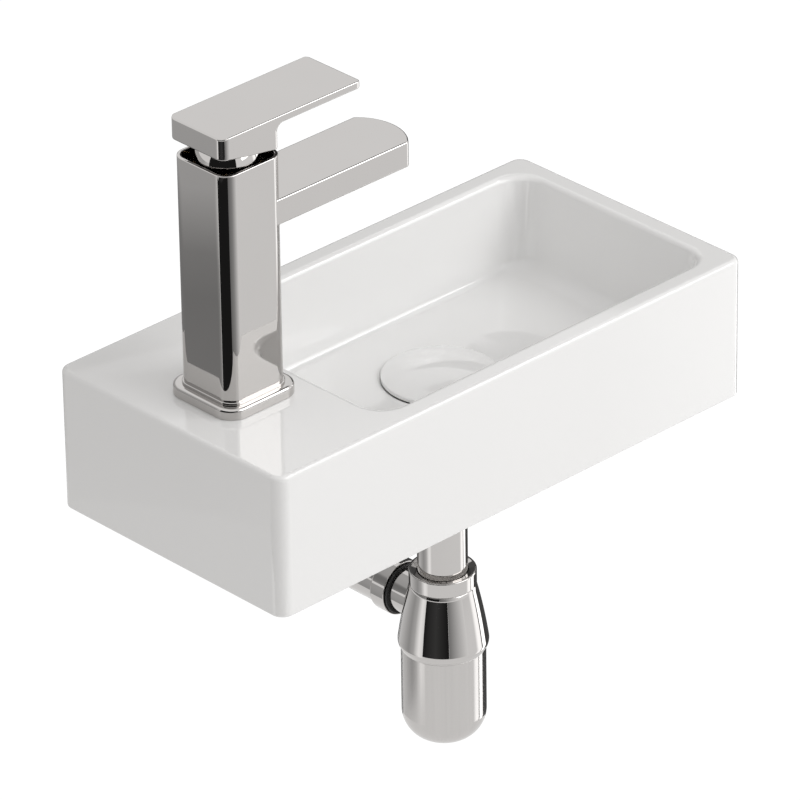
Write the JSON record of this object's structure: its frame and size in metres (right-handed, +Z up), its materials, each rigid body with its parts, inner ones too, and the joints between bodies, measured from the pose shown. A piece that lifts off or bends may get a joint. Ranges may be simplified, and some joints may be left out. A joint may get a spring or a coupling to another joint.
{
  "type": "wall-hung hand basin with tap and trap",
  "caption": "Small rectangular wall-hung ceramic hand basin with a side tap deck, a square lever mixer tap, a push-button waste and a polished bottle trap.",
  "frame": {"origin": "midway between the two wall fixing holes, on the wall face of the basin", "axes": "+X to the right seen from the front, +Y out of the back of the basin into the wall, +Z up"},
  "size_m": [0.37, 0.225, 0.4711],
  "materials": {
    "ceramic": "gloss white glaze",
    "chrome": "polished chrome plate",
    "brass": "machined brass",
    "steel": "plain stainless steel",
    "rubber": "matt black rubber",
    "plastic": "moulded off-white plastic"
  },
  "bodies": {
    "fixed_assembly": {"basin_body": "ceramic", "waste_body": "chrome", "dip_tube": "chrome", "trap_inlet_nut": "chrome", "trap_collar_nut": "chrome", "trap_body": "chrome", "outlet_nut": "chrome", "outlet_tube": "chrome", "wall_flange": "chrome", "tap_plinth": "chrome", "tap_body": "chrome", "tap_spout": "chrome", "aerator_housing": "chrome", "ball_cover": "chrome", "waste_back_nut": "brass", "cartridge_nut": "brass", "fixing_nut": "brass", "push_spring": "steel", "fixing_stud": "steel", "horseshoe_washer": "steel", "waste_top_seal": "rubber", "waste_bottom_seal": "rubber", "trap_inlet_seal": "rubber", "trap_collar_seal": "rubber", "outlet_gasket": "rubber", "outlet_washer": "rubber", "base_seal": "rubber", "aerator_seal": "rubber", "cartridge_seals": "rubber", "horseshoe_gasket": "rubber", "push_sleeve": "plastic", "mixer_cartridge": "plastic", "aerator_insert": "plastic"},
    "waste_button": {"waste_cap": "ceramic", "cap_plate": "chrome", "cap_seal": "rubber", "push_stem": "brass"},
    "lever_turntable": {"lever_rotor": "plastic", "pivot_pin": "brass"},
    "lever_handle": {"lever": "chrome", "lever_stem": "brass", "grub_screw": "steel", "screw_plug": "chrome"},
    "bottle": {"trap_bottle": "chrome", "bottle_seal": "rubber"}
  },
  "joints": [
    {"name": "waste_button_lift", "type": "slide", "parent": "fixed_assembly", "child": "waste_button", "axis": [0, 0, 1], "range_m": [0, 0.008], "deforming": ["push_spring"]},
    {"name": "lever_swivel", "type": "hinge", "parent": "fixed_assembly", "child": "lever_turntable", "pos_m": [-0.1333, -0.0925, 0.225], "axis": [0, 0, 1], "range_deg": [-45, 45]},
    {"name": "lever_lift", "type": "hinge", "parent": "lever_turntable", "child": "lever_handle", "pos_m": [-0.1333, -0.0925, 0.225], "axis": [0, -1, 0], "range_deg": [0, 20]},
    {"name": "bottle_unscrew", "type": "slide", "parent": "fixed_assembly", "child": "bottle", "axis": [0, 0, -1], "range_m": [0, 0.055]}
  ]
}
